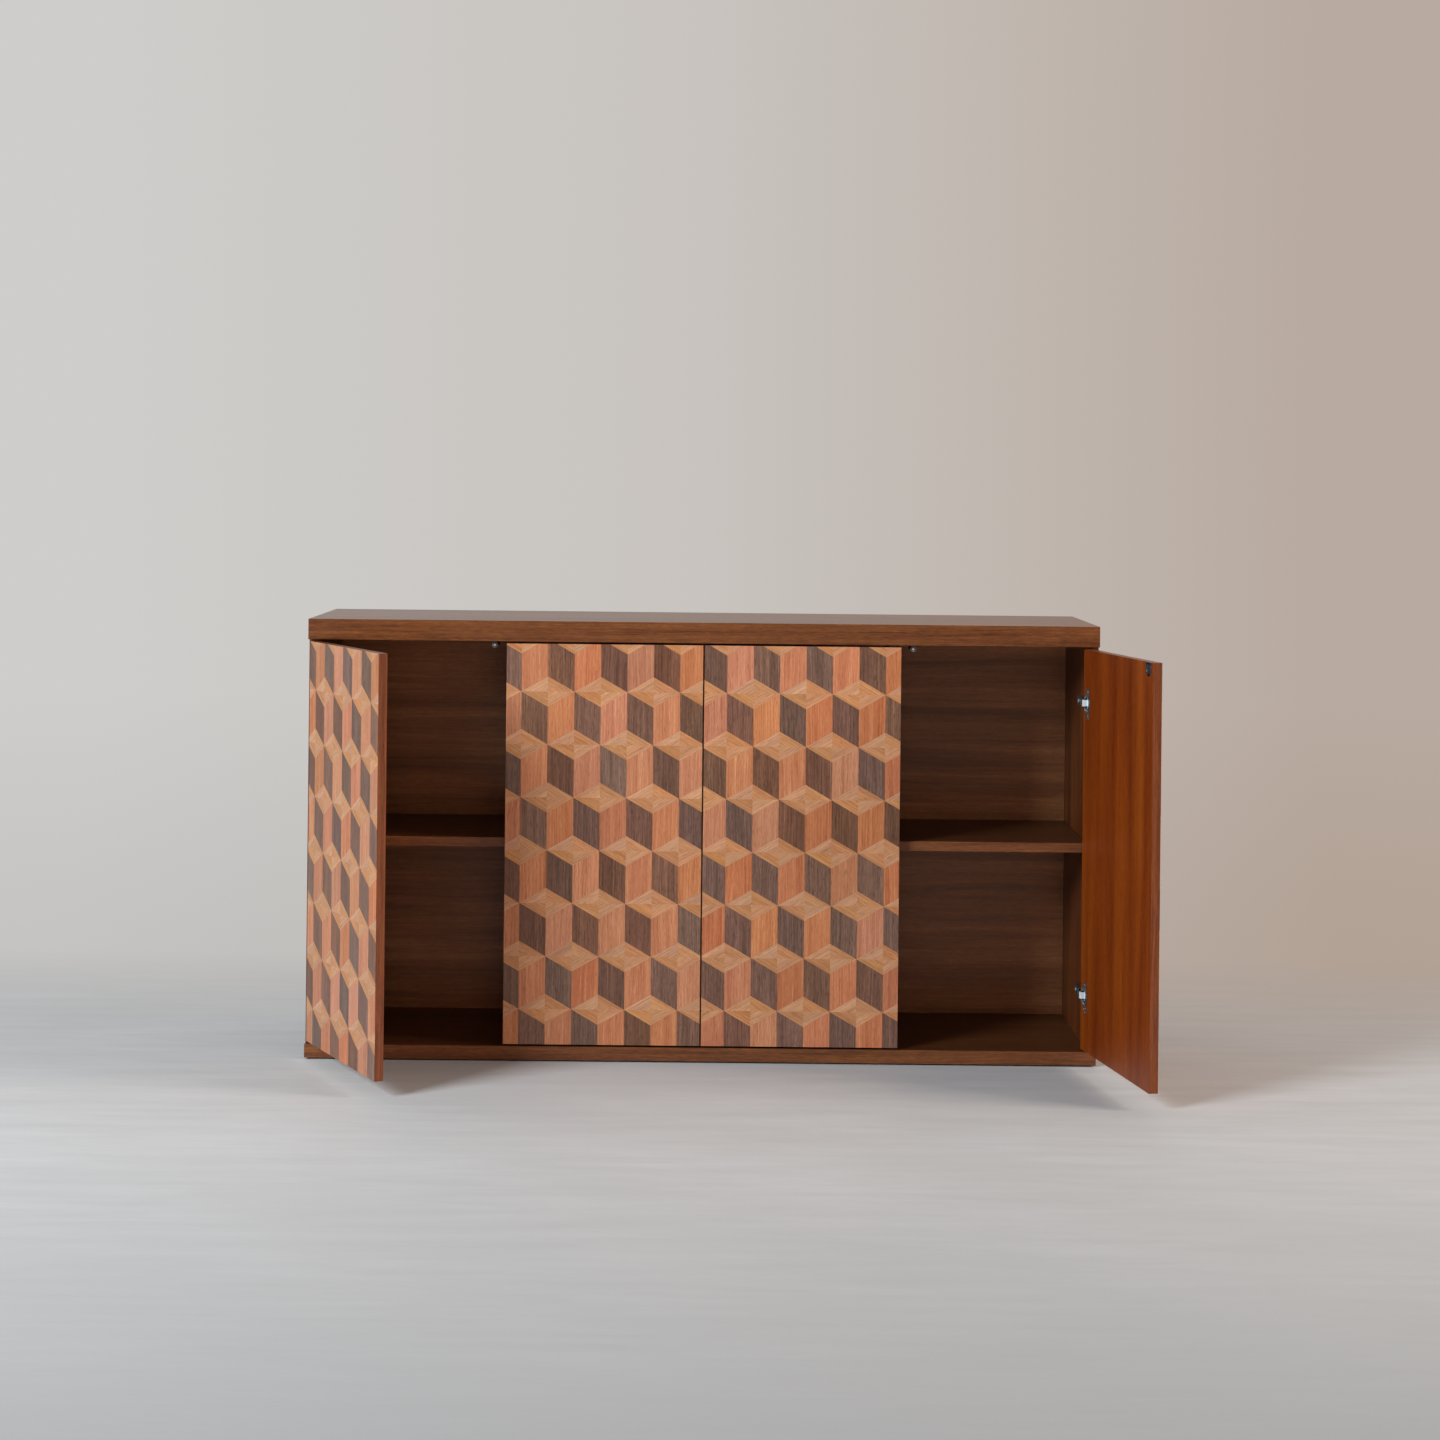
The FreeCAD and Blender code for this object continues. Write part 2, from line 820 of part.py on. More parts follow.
def make_latch(door):
    """One latch housing with its plate under the top board, and the plate's screws."""
    x = latch_x(door)
    z = top_under_z - latch_drop
    start = FreeCAD.Vector(x, carcass_front_y + latch_setback, z)
    bore_end_y = plunger_front_y + plunger_length + plunger_travel + plunger_spring_room
    bore_length = bore_end_y - start.y
    barrel = rod(latch_radius, start, back * (bore_length + latch_end_wall))
    plate_y = carcass_front_y + latch_plate_setback
    plate = block(
        (x - latch_plate_width / 2, x + latch_plate_width / 2),
        (plate_y, plate_y + latch_plate_length),
        (top_under_z - latch_plate_thickness, top_under_z),
    )
    saddle = block(
        (x - latch_saddle_width / 2, x + latch_saddle_width / 2),
        (plate_y, plate_y + latch_plate_length),
        (z, top_under_z),
    )
    bore = rod(plunger_radius + latch_bore_fit, start, back * bore_length)
    mouth = rod(latch_mouth_radius, start, back * latch_mouth_depth)
    holes = [
        rod(latch_screw_radius + screw_fit, seat, up * latch_plate_thickness)
        for seat in latch_screw_seats(door)
    ]
    housing = joined([barrel, plate, saddle]).cut(holes + [bore, mouth])
    screws = [
        slotted_screw(
            latch_screw_radius,
            latch_screw_length,
            latch_screw_head_radius,
            latch_screw_head_height,
            seat,
            up,
        )
        for seat in latch_screw_seats(door)
    ]
    return [housing] + screws


def make_plunger(door):
    """The plunger that a closed door rests against."""
    start = FreeCAD.Vector(latch_x(door), plunger_front_y, top_under_z - latch_drop)
    plunger = rod(plunger_radius, start, back * plunger_length)
    tip = [edge for edge in plunger.Edges if edge.BoundBox.YMax - plunger_front_y < edge_hem]
    return plunger.makeFillet(plunger_tip_radius, tip)


def make_hinge_pieces():
    """Arms, plates and screws of all eight hinges."""
    hinges = [(door, height) for door in doors.values() for height in hinge_heights]
    screws = [screw for door, height in hinges for screw in make_plate_screws(door, height)]
    return {
        "hinge_arms": Part.makeCompound([make_arm(door, height) for door, height in hinges]),
        "hinge_plates": Part.makeCompound([make_plate(door, height) for door, height in hinges]),
        "hinge_plate_screws": Part.makeCompound(screws),
    }


def make_door(number, door):
    """All the pieces of one door and its hinge links, at the angle where it stands."""
    prefix = f"door_{number}_"
    parts = make_door_panel(door)
    parts.update(make_door_hardware(door))
    for wood, outlines in block_faces(door).items():
        parts["veneer_" + wood] = veneer_pieces(outlines)
    pieces = {prefix + name: opened(shape, door) for name, shape in parts.items()}
    links = Part.makeCompound([make_link(door, height) for height in hinge_heights])
    pieces[f"hinge_links_{number}"] = link_opened(links, door)
    return pieces


def make_parts():
    """Every node of the sideboard by name."""
    parts = {}
    parts.update(make_boards())
    parts.update(make_uprights())
    parts.update(make_back())
    parts.update(make_shelves())
    parts.update(make_glides())
    parts.update(make_hinge_pieces())
    parts["carcass_dowels"] = Part.makeCompound(dowel_rods(dowel_radius, 0))
    housings = [piece for door in doors.values() for piece in make_latch(door)]
    parts["latch_housings"] = Part.makeCompound(housings)
    for number, door in doors.items():
        parts.update(make_door(number, door))
        parts[f"latch_plunger_{number}"] = make_plunger(door)
    return parts


def main():
    os.makedirs("parts", exist_ok=True)
    for name, shape in make_parts().items():
        shape.exportStep(f"parts/{name}.step")


main()
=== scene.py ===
import bpy
import math
import random
from mathutils import Matrix, Vector


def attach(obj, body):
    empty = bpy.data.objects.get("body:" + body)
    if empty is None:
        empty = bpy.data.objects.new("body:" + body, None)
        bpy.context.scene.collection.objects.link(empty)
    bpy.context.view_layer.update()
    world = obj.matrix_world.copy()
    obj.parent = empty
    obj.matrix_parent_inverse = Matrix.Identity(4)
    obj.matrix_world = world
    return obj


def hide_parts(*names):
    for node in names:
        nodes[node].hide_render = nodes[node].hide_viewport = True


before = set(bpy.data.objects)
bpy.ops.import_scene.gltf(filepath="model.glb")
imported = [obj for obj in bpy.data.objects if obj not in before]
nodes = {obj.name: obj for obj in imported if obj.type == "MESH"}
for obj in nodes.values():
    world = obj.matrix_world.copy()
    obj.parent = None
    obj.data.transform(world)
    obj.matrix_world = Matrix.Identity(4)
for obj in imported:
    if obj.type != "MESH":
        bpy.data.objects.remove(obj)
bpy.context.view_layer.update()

# Sizes of the closed doors, in metres, as in the frame
door_width = 0.397
door_low = 0.035
door_high = 0.844
door_front = -0.2
door_back = -0.182
veneer = 0.0006
lipping = 0.001

# Marquetry blocks: width of one side, slant of its edges, pitch of the rows, how much the edges are
# eased, and the smallest piece that is kept, in square metres
block_width = 0.0534
block_slant = math.radians(30)
row_pitch = 0.1069
first_row_rise = 0.0107
veneer_ease = 0.00012
lipping_ease = 0.00006
most_ease = 0.4
smallest_piece = 5e-7
marquetry_seed = 41
lipping_seed = 7

# Strikes of the latches, from the free edge and from the top of the door, with a rim round a pad
strike_inset = 0.023
strike_width = 0.026
strike_height = 0.027
strike_thickness = 0.0015
strike_ease = 0.0004
strike_rim = 0.0042
strike_lip = 0.0006
pad_inset = 0.005
pad_ease = 0.0005
pad_gap = 0.0002
foot_steps = 24

# The two pins of the hinges, from the door's hinge edge and its inner face, and how far the link
# turns for each degree of the door
cup_pin = (0.008, 0.006)
arm_pin = (0.022, -0.01)
link_share = 0.39

# Each door: hinge edge, the way it runs from there, how far it stands open, start of its pattern
doors = {
    1: (-0.7985, 1, 62.7, 0.037),
    2: (-0.0015, -1, 0, 0.0307),
    3: (0.0015, 1, 0, 0.0459),
    4: (0.7985, -1, 100.7, 0.0396),
}

# Hue, saturation and brightness of each piece of veneer, as the lowest and highest change from plain
look_spreads = {
    "walnut": ((-0.007, 0.003), (0.86, 1.1), (0.86, 1.12)),
    "red": ((-0.004, 0.004), (0.95, 1.07), (0.9, 1.08)),
}
light_hue_spread = (-0.003, 0.002)
light_spread = (-0.05, 0.05)
strip_spreads = ((0.95, 1.05), (0.94, 1.06))

# Hue, saturation and brightness of the four parts of a light top
top_looks = {1: (0, 0.93, 1.05), 2: (0, 1.03, 1.0), 3: (0, 1.05, 0.97), 4: (0, 0.96, 1.03)}
plain_hue = 0.5


# Small helpers for colours, nodes and meshes
def tone(red, green, blue):
    """A colour as it looks on screen, 0 to 255, as linear values."""
    levels = []
    for level in (red, green, blue):
        level /= 255
        levels.append(level / 12.92 if level <= 0.04045 else ((level + 0.055) / 1.055) ** 2.4)
    return (*levels, 1)


def put(tree, kind, inputs=None, **settings):
    """A new node with its settings, its constants and its links."""
    node = tree.nodes.new("ShaderNode" + kind)
    for key, value in settings.items():
        setattr(node, key, value)
    for key, value in (inputs or {}).items():
        if isinstance(value, bpy.types.NodeSocket):
            tree.links.new(value, node.inputs[key])
        else:
            node.inputs[key].default_value = value
    return node


def ramp(tree, factor, stops):
    """A colour ramp from stops of position and colour."""
    node = put(tree, "ValToRGB", {"Fac": factor})
    points = node.color_ramp.elements
    points[0].position, points[0].color = stops[0]
    points[1].position, points[1].color = stops[-1]
    for position, color in stops[1:-1]:
        points.new(position).color = color
    return node.outputs["Color"]


def mask(tree, value, low, high):
    """A value turned into 0 below low and 1 above high."""
    inputs = {"Value": value, "From Min": low, "From Max": high}
    return put(tree, "MapRange", inputs).outputs["Result"]


def math_node(tree, operation, *values):
    """The result of a math node."""
    return put(tree, "Math", dict(enumerate(values)), operation=operation).outputs[0]


def vector_node(tree, operation, *values):
    """The vector result of a vector math node."""
    return put(tree, "VectorMath", dict(enumerate(values)), operation=operation).outputs[0]


def mixed(tree, factor, first, second):
    """Two colours mixed by a factor, from the first to the second."""
    return put(tree, "Mix", {0: factor, 6: first, 7: second}, data_type="RGBA").outputs[2]


def noise(tree, vector, lengths, detail=2.0, rough=0.5):
    """Noise with features of these lengths, in metres, along the three axes."""
    stretched = vector_node(tree, "MULTIPLY", vector, [1 / length for length in lengths])
    inputs = {"Vector": stretched, "Scale": 1, "Detail": detail, "Roughness": rough}
    return put(tree, "TexNoise", inputs).outputs


def surface(name, **inputs):
    """A new material, its node tree and its shader with these constants."""
    material = bpy.data.materials.new(name)
    material.use_nodes = True
    tree = material.node_tree
    shader = tree.nodes["Principled BSDF"]
    for key, value in inputs.items():
        shader.inputs[key.replace("_", " ")].default_value = value
    return material, tree, shader


def worn_edges(tree, radius):
    """Rounded edge normals, and a mask that is 1 on the edges."""
    rounded = put(tree, "Bevel", {"Radius": radius}, samples=6).outputs[0]
    flat = put(tree, "NewGeometry").outputs["Normal"]
    facing = put(tree, "VectorMath", {0: rounded, 1: flat}, operation="DOT_PRODUCT").outputs["Value"]
    return rounded, mask(tree, facing, *edge_range)


# Materials. Lengths run along and across the grain, in metres. A range is where a mask begins and
# ends, and a shade is how much of the darkest tone is left.
grain_shift = (3.1, 1.7, 2.3)
wander_lengths = (0.35, 0.07, 0.07)
wander_reach = (0, 0.02, 0.02)
figure_length = 0.9
streak_length = 0.3
fibre_lengths = (0.05, 0.0009, 0.0009)
pore_lengths = (0.014, 0.0006, 0.0006)
mottle_lengths = (0.022, 0.004, 0.004)
figure_range = (0.34, 0.66)
pore_range = (0.62, 0.7)
pore_shade = 0.45
# Painted shade on the faces of the shelves and the bottom board that do not face front or back
painted_shade_range = (0.7, 0.3)
painted_shade_darkest = 0.3
rub_range = (0.35, 0.7)
rub_strength = 0.35
edge_range = (0.995, 0.8)
smudge_lengths = (0.008, 0.008, 0.012)
scratch_lengths = (0.0004, 0.0004, 0.01)
# Painted shade in the hollows of the metals: how far it looks for nearby parts, where it begins and ends,
# and its tone
hollow_shade_reach = 0.014
hollow_shade_range = (0.9, 0.45)
hollow_shade_tone = (22, 19, 17)
grit_lengths = (0.0008, 0.0008, 0.0008)
cloud_lengths = (0.01, 0.01, 0.01)
plastic_lift = 1.35


def grain_axes(tree, way):
    """Coordinates with the grain along the first axis, shifted for each board."""
    if way == "map":
        return put(tree, "Attribute", attribute_name="grain").outputs["Vector"]
    place = put(tree, "TexCoord").outputs["Object"]
    axes = put(tree, "SeparateXYZ", {0: place}).outputs
    order = {"x": (0, 1, 2), "z": (2, 0, 1)}[way]
    along = put(tree, "CombineXYZ", {i: axes[axis] for i, axis in enumerate(order)}).outputs[0]
    chance = put(tree, "ObjectInfo").outputs["Random"]
    return vector_node(tree, "MULTIPLY_ADD", chance, grain_shift, along)


def wood(
    name, way, tones, figure, streak, pores, weights=(0.4, 0.4, 0.2, 0), edge=0.0, gloss=0.4, painted_shade=0.0
):
    """A lacquered wood: broad figure, streaks, fine fibres, mottle and pores along its grain."""
    material, tree, shader = surface(name, Specular_IOR_Level=0.4, Coat_Weight=0.06, Coat_Roughness=0.28)
    place = grain_axes(tree, way)
    wander = noise(tree, place, wander_lengths, 1.0)["Color"]
    centred = vector_node(tree, "SUBTRACT", wander, (0.5, 0.5, 0.5))
    place = vector_node(tree, "MULTIPLY_ADD", centred, wander_reach, place)
    broad = noise(tree, place, (figure_length, figure, figure), 2.0)["Fac"]
    fine = noise(tree, place, (streak_length, streak, streak), 3.0, 0.6)["Fac"]
    fibre = noise(tree, place, fibre_lengths, 2.0)["Fac"]
    dots = noise(tree, place, pore_lengths, 0.0)["Fac"]
    value = math_node(tree, "MULTIPLY", broad, weights[0])
    value = math_node(tree, "MULTIPLY_ADD", fine, weights[1], value)
    value = math_node(tree, "MULTIPLY_ADD", fibre, weights[2], value)
    if weights[3]:
        mottle = noise(tree, place, mottle_lengths, 3.0, 0.7)["Fac"]
        value = math_node(tree, "MULTIPLY_ADD", mottle, weights[3], value)
    value = mask(tree, value, *figure_range)
    last = len(tones) - 1
    color = ramp(tree, value, [(i / last, tone(*rgb)) for i, rgb in enumerate(tones)])
    specks = mask(tree, dots, *pore_range)
    darkened = math_node(tree, "MULTIPLY", specks, pores)
    color = mixed(tree, darkened, color, tone(*[level * pore_shade for level in tones[0]]))
    # Painted shade: tops, undersides and ends, the faces that turn away from front and back, are darkened
    # by this share
    if painted_shade:
        normal = put(tree, "SeparateXYZ", {0: put(tree, "TexCoord").outputs["Normal"]}).outputs[1]
        level = mask(tree, math_node(tree, "ABSOLUTE", normal), *painted_shade_range)
        darkened = math_node(tree, "MULTIPLY", level, painted_shade)
        color = mixed(tree, darkened, color, tone(*[part * painted_shade_darkest for part in tones[0]]))
    if way == "map":
        look = put(tree, "Attribute", attribute_name="look").outputs["Vector"]
        turn, rich, light = put(tree, "SeparateXYZ", {0: look}).outputs
        color = put(
            tree, "HueSaturation", {"Hue": turn, "Saturation": rich, "Value": light, "Color": color}
        ).outputs[0]
    height = math_node(tree, "MULTIPLY_ADD", specks, -0.8, fibre)
    bump = {"Height": height, "Strength": 0.35, "Distance": 0.00008}
    if edge:
        rounded, worn = worn_edges(tree, edge)
        bump["Normal"] = rounded
        rubbed = math_node(tree, "MULTIPLY", worn, mask(tree, broad, *rub_range))
        color = mixed(tree, math_node(tree, "MULTIPLY", rubbed, rub_strength), color, tone(*tones[-1]))
    tree.links.new(color, shader.inputs["Base Color"])
    sheen = math_node(tree, "MULTIPLY_ADD", fine, 0.16, gloss - 0.08)
    tree.links.new(sheen, shader.inputs["Roughness"])
    tree.links.new(put(tree, "Bump", bump).outputs[0], shader.inputs["Normal"])
    return material


def metal(name, light, dark, rough, edge, metallic=1.0, hollow_shade=0.0):
    """A plated metal with faint wear, smudges, hairline scratches and painted shade in its hollows."""
    material, tree, shader = surface(name, Metallic=metallic)
    place = put(tree, "TexCoord").outputs["Object"]
    smudge = noise(tree, place, smudge_lengths, 3.0)["Fac"]
    scratch = noise(tree, place, scratch_lengths, 2.0)["Fac"]
    color = mixed(tree, mask(tree, smudge, 0.35, 0.7), tone(*dark), tone(*light))
    rounded, worn = worn_edges(tree, edge)
    color = mixed(tree, math_node(tree, "MULTIPLY", worn, 0.4), color, tone(*light))
    if hollow_shade:
        # Painted shade: darker where nearby parts hem the surface in, as in the hinge cups, the recesses
        # of the arms and round the latch tips
        open_air = put(tree, "AmbientOcclusion", {"Distance": hollow_shade_reach}, samples=8).outputs["AO"]
        shaded = math_node(tree, "MULTIPLY", mask(tree, open_air, *hollow_shade_range), hollow_shade)
        color = mixed(tree, shaded, color, tone(*hollow_shade_tone))
    tree.links.new(color, shader.inputs["Base Color"])
    spread = math_node(tree, "MULTIPLY_ADD", smudge, 0.18, rough - 0.09)
    tree.links.new(spread, shader.inputs["Roughness"])
    bump = {"Height": scratch, "Strength": 0.2, "Distance": 0.00003, "Normal": rounded}
    tree.links.new(put(tree, "Bump", bump).outputs[0], shader.inputs["Normal"])
    return material


def plain_plastic(name, rgb):
    """A moulded plastic with a fine grain."""
    material, tree, shader = surface(name)
    place = put(tree, "TexCoord").outputs["Object"]
    grit = noise(tree, place, grit_lengths, 2.0)["Fac"]
    cloud = noise(tree, place, cloud_lengths, 2.0)["Fac"]
    lighter = [min(255, level * plastic_lift) for level in rgb]
    tree.links.new(mixed(tree, cloud, tone(*rgb), tone(*lighter)), shader.inputs["Base Color"])
    spread = math_node(tree, "MULTIPLY_ADD", cloud, 0.2, 0.45)
    tree.links.new(spread, shader.inputs["Roughness"])
    bump = put(tree, "Bump", {"Height": grit, "Strength": 0.3, "Distance": 0.0001})
    tree.links.new(bump.outputs[0], shader.inputs["Normal"])
    return material


# Tones of the woods on screen, from dark to light, and shares of figure, streaks, fibres and mottle
carcass = [(66, 32, 14), (96, 51, 23), (124, 70, 33), (152, 95, 49)]
inner = [(54, 22, 8), (78, 35, 13), (101, 50, 19), (125, 69, 29)]
panel = [(94, 55, 31), (119, 72, 42), (142, 90, 55), (166, 112, 72)]
skin = [(94, 33, 3), (113, 44, 4), (132, 57, 7), (150, 72, 11)]
trim = [(84, 35, 11), (107, 49, 17), (128, 64, 25), (148, 82, 33)]
dark_block = [(72, 45, 34), (102, 68, 51), (127, 88, 68), (153, 110, 86)]
red_block = [(148, 78, 47), (179, 109, 75), (197, 128, 91), (213, 151, 113)]
light_block = [(156, 101, 62), (181, 123, 83), (197, 140, 98), (214, 161, 119)]
board_weights = (0.3, 0.3, 0.15, 0.25)
pale_weights = (0.25, 0.4, 0.2, 0.15)

# Woods: way of the grain, tones, widths of figure and streaks, strength of the pores, shares.
# Metals: light and dark tone, roughness, radius of the worn edges.
finishes = {
    "board": wood("board_walnut", "x", carcass, 0.03, 0.004, 0.4, board_weights, edge=0.0016, gloss=0.3),
    "shelf": wood("shelf_walnut", "x", carcass, 0.03, 0.004, 0.4, board_weights, edge=0.0012, painted_shade=0.42),
    "upright": wood("upright_walnut", "z", inner, 0.05, 0.006, 0.3, (0.5, 0.25, 0.1, 0.15), edge=0.0008),
    "back": wood("back_walnut", "x", panel, 0.035, 0.006, 0.25, (0.45, 0.25, 0.12, 0.18)),
    "skin": wood("door_skin", "z", skin, 0.05, 0.004, 0.5, (0.45, 0.25, 0.3, 0), edge=0.0004),
    "lipping": wood("door_lipping", "map", trim, 0.012, 0.003, 0.4),
    "walnut": wood("block_walnut", "map", dark_block, 0.016, 0.0026, 0.6, (0.2, 0.4, 0.25, 0.15)),
    "red": wood("block_red", "map", red_block, 0.016, 0.0028, 0.35, pale_weights),
    "light": wood("block_light", "map", light_block, 0.014, 0.0022, 0.35, pale_weights),
    "core": wood("door_core", "x", [(140, 110, 80), (176, 144, 108)], 0.006, 0.003, 0.2),
    "beech": wood("dowel_beech", "z", [(180, 140, 98), (214, 178, 136)], 0.006, 0.002, 0.2),
    "nickel": metal("nickel", (226, 227, 228), (204, 204, 203), 0.42, 0.0004, hollow_shade=0.9),
    # Painted shade: the hinge arms and plates take a darker copy of the nickel for the shade they sit in
    "arm": metal("shaded_arm_nickel", (170, 171, 173), (134, 134, 136), 0.4, 0.0004, hollow_shade=0.9),
    "link": metal("bright_nickel", (240, 242, 246), (222, 224, 229), 0.5, 0.0004, 0.35, 0.5),
    "chrome": metal("chrome", (232, 233, 235), (206, 208, 210), 0.32, 0.0004, hollow_shade=0.85),
    "plunger": metal("satin_chrome", (244, 245, 247), (228, 229, 232), 0.42, 0.0004, 0.35),
    "zinc": metal("zinc", (222, 222, 219), (190, 189, 184), 0.36, 0.0003, 0.8),
    "strike": metal("strike_plate", (112, 120, 128), (80, 86, 94), 0.36, 0.0003),
    "pad": plain_plastic("strike_pad", (24, 26, 30)),
    "plastic": plain_plastic("glide_plastic", (34, 30, 30)),
}


# Marquetry and lipping of the doors
def door_place(number):
    """From a closed door to where it stands: round the cup pin, then round the arm pin."""
    edge, way, angle, _ = doors[number]
    turn = Matrix.Identity(4)
    for (inward, outward), share in ((cup_pin, -(1 + link_share)), (arm_pin, link_share)):
        centre = Matrix.Translation((edge + way * inward, door_back - outward, 0))
        spin = Matrix.Rotation(math.radians(way * angle * share), 4, "Z")
        turn = centre @ spin @ centre.inverted() @ turn
    return turn


def clipped(points, walls):
    """A convex outline cut by walls of axis, place and side."""
    for axis, wall, side in walls:
        kept = []
        for index, end in enumerate(points):
            start = points[index - 1]
            start_in = (start[axis] - wall) * side
            end_in = (end[axis] - wall) * side
            if start_in * end_in < 0:
                kept.append(start.lerp(end, start_in / (start_in - end_in)))
            if end_in >= 0:
                kept.append(end)
        points = kept
    return points


def twice_area(points):
    """Twice the signed area of an outline."""
    return sum(points[i - 1].cross(points[i]) for i in range(len(points)))


def drawn_in(points, amount):
    """A convex outline, counter-clockwise, with each side moved inwards."""
    middle = sum(points, Vector((0, 0))) / len(points)
    moved = []
    for index, point in enumerate(points):
        before = (point - points[index - 1]).normalized()
        after = (points[(index + 1) % len(points)] - point).normalized()
        normals = [Vector((-way.y, way.x)) for way in (before, after)]
        share = 1 + normals[0].dot(normals[1])
        step = (normals[0] + normals[1]) * (amount / max(share, 0.05))
        limit = (middle - point) * most_ease
        if step.length > limit.length:
            step = limit
        moved.append(point + step)
    return moved


class Patchwork:
    """Flat pieces with eased edges, collected into one mesh with its grain and its look."""

    def __init__(self):
        self.points = []
        self.faces = []
        self.grain = []
        self.look = []

    def add(self, outline, front, back, way, ease, look, rng):
        """One piece of this outline in x and z, between two values of y."""
        if twice_area(outline) < 0:
            outline = outline[::-1]
        count = len(outline)
        start = len(self.points)
        rings = (
            (front, drawn_in(outline, ease)),
            (front + ease, outline),
            (back - ease, outline),
            (back, drawn_in(outline, ease)),
        )
        shift = Vector((rng.uniform(0, 9), rng.uniform(0, 9), rng.uniform(0, 9)))
        across = Vector((-way.y, way.x))
        for depth, ring in rings:
            for point in ring:
                self.points.append((point.x, depth, point.y))
                self.grain.append(Vector((point.dot(way), point.dot(across), depth)) + shift)
                self.look.append(look)
        for level in range(len(rings) - 1):
            for index in range(count):
                after = (index + 1) % count
                low = start + level * count
                self.faces.append((low + index, low + count + index, low + count + after, low + after))
        last = start + (len(rings) - 1) * count
        self.faces.append(tuple(range(start, start + count)))
        self.faces.append(tuple(range(last, last + count))[::-1])

    def build(self, name, place, material):
        """The finished object."""
        mesh = bpy.data.meshes.new(name)
        mesh.from_pydata([place @ Vector(point) for point in self.points], [], self.faces)
        for label, values in (("grain", self.grain), ("look", self.look)):
            layer = mesh.attributes.new(label, "FLOAT_VECTOR", "POINT")
            layer.data.foreach_set("vector", [part for value in values for part in value])
        mesh.materials.append(material)
        mesh.validate()
        piece = bpy.data.objects.new(name, mesh)
        bpy.context.scene.collection.objects.link(piece)
        return piece


def block_outlines(left, start):
    """Every piece of a door's marquetry: wood, outline, way of the grain, and its part in the top."""
    drop = block_width * math.tan(block_slant)
    side = row_pitch - drop
    rising = Vector((math.cos(block_slant), math.sin(block_slant)))
    falling = Vector((math.cos(block_slant), -math.sin(block_slant)))
    upright = Vector((0, 1))
    rows = math.ceil((door_high - door_low + drop + first_row_rise) / row_pitch) + 1
    columns = math.ceil(door_width / block_width) + 3
    for row in range(rows):
        for column in range(row % 2 - 2, columns, 2):
            height = door_high + first_row_rise - row_pitch * row
            middle = Vector((left + start + block_width * column, height))
            west = middle - Vector((block_width, 0))
            east = middle + Vector((block_width, 0))
            north = middle + Vector((0, drop))
            south = middle - Vector((0, drop))
            down = Vector((0, -side))
            yield "walnut", [west, south, south + down, west + down], upright, 0
            yield "red", [south, east, east + down, south + down], upright, 0
            yield "light", [west, middle, north], rising, 1
            yield "light", [north, middle, east], falling, 2
            yield "light", [west, south, middle], falling, 3
            yield "light", [middle, south, east], rising, 4


def piece_look(kind, part, rng):
    """Hue, saturation and brightness of one piece of veneer."""
    if kind in look_spreads:
        turn, rich, light = (rng.uniform(*spread) for spread in look_spreads[kind])
        return (plain_hue + turn, rich, light)
    turn, rich, light = top_looks[part]
    spread = rng.uniform(*light_spread)
    return (plain_hue + turn + rng.uniform(*light_hue_spread), rich + spread / 2, light + spread)


def make_marquetry(number):
    """The three woods on a door's outer face."""
    edge, way, _, start = doors[number]
    left = min(edge, edge + way * door_width)
    walls = ((0, left, 1), (0, left + door_width, -1), (1, door_low, 1), (1, door_high, -1))
    rng = random.Random(marquetry_seed + number)
    works = {"walnut": Patchwork(), "red": Patchwork(), "light": Patchwork()}
    for kind, outline, grain, part in block_outlines(left, start):
        cut = clipped(outline, walls)
        look = piece_look(kind, part, rng)
        if len(cut) > 2 and abs(twice_area(cut)) > 2 * smallest_piece:
            works[kind].add(cut, door_front, door_front + veneer, grain, veneer_ease, look, rng)
    for kind, work in works.items():
        piece = work.build(f"door_{number}_marquetry_{kind}", door_place(number), finishes[kind])
        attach(piece, f"door_{number}")
        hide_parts(f"door_{number}_veneer_{kind}")


def make_lipping(number):
    """The strips on the four edges of a door, each with its grain along it."""
    edge, way, _, _ = doors[number]
    left = min(edge, edge + way * door_width)
    right = left + door_width
    rng = random.Random(lipping_seed + number)
    upright, level = Vector((0, 1)), Vector((1, 0))
    strips = (
        (left, left + lipping, door_low, door_high, upright),
        (right - lipping, right, door_low, door_high, upright),
        (left + lipping, right - lipping, door_low, door_low + lipping, level),
        (left + lipping, right - lipping, door_high - lipping, door_high, level),
    )
    work = Patchwork()
    for x0, x1, z0, z1, grain in strips:
        outline = [Vector(corner) for corner in ((x0, z0), (x1, z0), (x1, z1), (x0, z1))]
        look = (plain_hue, *(rng.uniform(*spread) for spread in strip_spreads))
        work.add(outline, door_front + veneer, door_back - veneer, grain, lipping_ease, look, rng)
    piece = work.build(f"door_{number}_edging", door_place(number), finishes["lipping"])
    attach(piece, f"door_{number}")
    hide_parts(f"door_{number}_lipping")


def tongue(middle, half, top, inset):
    """An outline with a round foot and a straight top, drawn in by an inset."""
    radius = half - inset
    turns = [math.pi + math.pi * step / foot_steps for step in range(foot_steps + 1)]
    foot = [middle + Vector((math.cos(turn), math.sin(turn))) * radius for turn in turns]
    return foot + [Vector((middle.x + radius, top - inset)), Vector((middle.x - radius, top - inset))]


def stacked(name, rings, place, material):
    """A closed piece from outlines at successive depths."""
    points = [place @ Vector((point.x, depth, point.y)) for depth, ring in rings for point in ring]
    count = len(rings[0][1])
    faces = [tuple(range(count)), tuple(range(len(points) - count, len(points)))[::-1]]
    for level in range(len(rings) - 1):
        for index in range(count):
            low = level * count
            after = (index + 1) % count
            faces.append((low + index, low + count + index, low + count + after, low + after))
    mesh = bpy.data.meshes.new(name)
    mesh.from_pydata(points, [], faces)
    mesh.materials.append(material)
    mesh.validate()
    piece = bpy.data.objects.new(name, mesh)
    bpy.context.scene.collection.objects.link(piece)
    return piece


